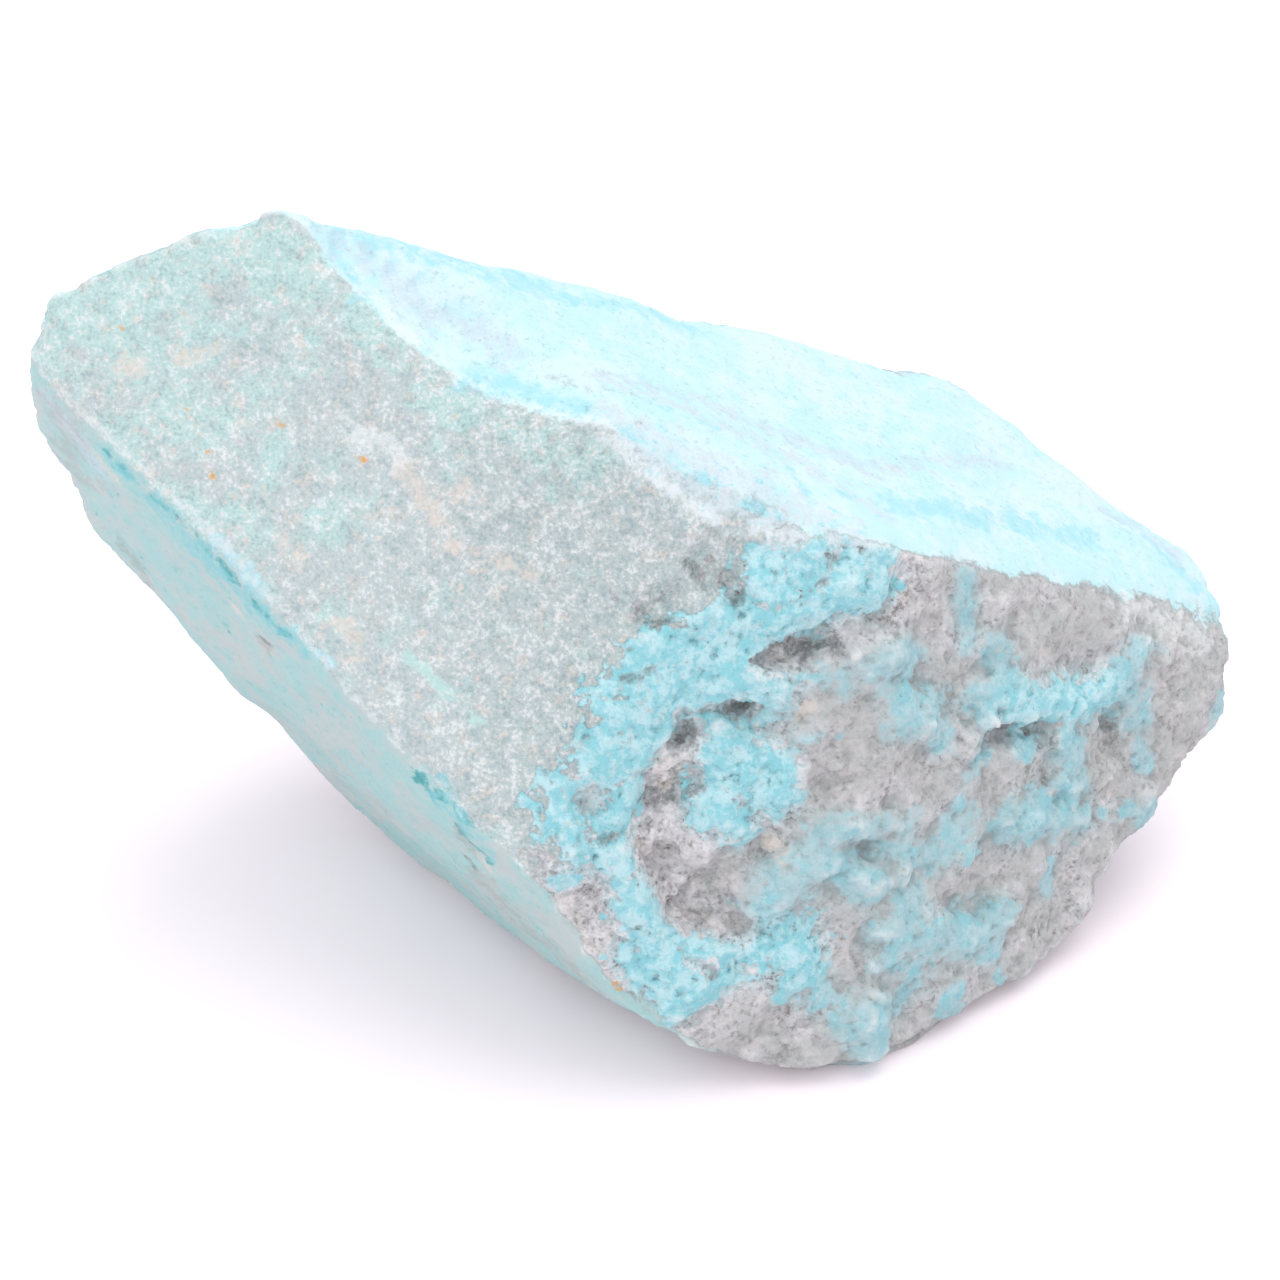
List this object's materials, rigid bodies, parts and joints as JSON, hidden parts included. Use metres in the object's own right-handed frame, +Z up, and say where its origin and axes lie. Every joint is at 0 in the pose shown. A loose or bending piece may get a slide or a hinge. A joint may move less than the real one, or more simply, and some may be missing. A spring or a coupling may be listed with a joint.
{
  "type": "raw chrysocolla stone",
  "caption": "Rough broken lump of green-grey quartz rock with turquoise chrysocolla crust and a smooth blue top, resting on a flat break.",
  "frame": {"origin": "middle of the foot of the bounding box, on the surface the stone rests on", "axes": "+Z up, +X along the stone's length towards its low end, the granular break faces -Y"},
  "size_m": [0.0664, 0.038, 0.0431],
  "materials": {
    "chrysocolla_rock": "matt broken rock: pale green-grey sugary grain, turquoise crust and a smooth pale blue coating"
  },
  "bodies": {
    "root": {"chrysocolla_stone": "chrysocolla_rock"}
  },
  "joints": []
}
